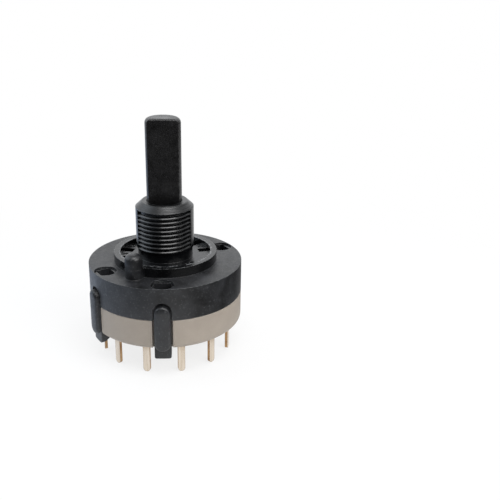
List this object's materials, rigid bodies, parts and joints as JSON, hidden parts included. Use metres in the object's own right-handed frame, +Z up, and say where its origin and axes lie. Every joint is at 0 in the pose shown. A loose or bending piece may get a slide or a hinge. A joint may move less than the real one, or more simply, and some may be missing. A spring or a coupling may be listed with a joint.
{
  "type": "rotary switch",
  "caption": "Round snap-fit rotary wafer switch with a threaded panel bush, flatted plastic shaft, locating peg and downward pin terminals.",
  "frame": {"origin": "on the shaft's axis, in the plane of the terminals' tips", "axes": "+Z up along the shaft; +Y away from the shaft's flat, so that the flat and the clip between two terminals face -Y; +X to the right as seen from the flat's side"},
  "size_m": [0.0266, 0.0284, 0.0413],
  "materials": {
    "cover_nylon": "satin moulded, glass-filled",
    "base_nylon": "satin moulded, glass-filled",
    "spindle_nylon": "fine matt moulded",
    "rotor_acetal": "smooth moulded",
    "wiper_bronze": "rolled spring sheet",
    "terminal_metal": "stamped and plated",
    "ball_steel": "ground and polished",
    "spring_steel": "drawn wire"
  },
  "bodies": {
    "housing": {"cover": "cover_nylon", "base": "base_nylon", "common_terminal": "terminal_metal", "terminal_1": "terminal_metal", "terminal_2": "terminal_metal", "terminal_3": "terminal_metal", "terminal_4": "terminal_metal", "terminal_5": "terminal_metal", "terminal_6": "terminal_metal", "terminal_7": "terminal_metal", "terminal_8": "terminal_metal", "terminal_9": "terminal_metal", "terminal_10": "terminal_metal", "terminal_11": "terminal_metal", "terminal_12": "terminal_metal"},
    "spindle_assembly": {"spindle": "spindle_nylon", "contact_rotor": "rotor_acetal", "wiper_contact": "wiper_bronze", "detent_spring_1": "spring_steel", "detent_spring_2": "spring_steel"},
    "ball_1": {"detent_ball_1": "ball_steel"},
    "ball_2": {"detent_ball_2": "ball_steel"}
  },
  "joints": [
    {"name": "spindle_turn", "type": "hinge", "parent": "housing", "child": "spindle_assembly", "pos_m": [0, 0, 0.012], "axis": [0, 0, 1], "range_deg": [-180, 150]},
    {"name": "ball_1_slide", "type": "slide", "parent": "spindle_assembly", "child": "ball_1", "axis": [1, 0, 0], "range_m": [0, 0.00056], "stiffness_N_per_m": 500, "springref_m": 0.003, "deforming": ["detent_spring_1"]},
    {"name": "ball_2_slide", "type": "slide", "parent": "spindle_assembly", "child": "ball_2", "axis": [-1, 0, 0], "range_m": [0, 0.00056], "stiffness_N_per_m": 500, "springref_m": 0.003, "deforming": ["detent_spring_2"]}
  ]
}
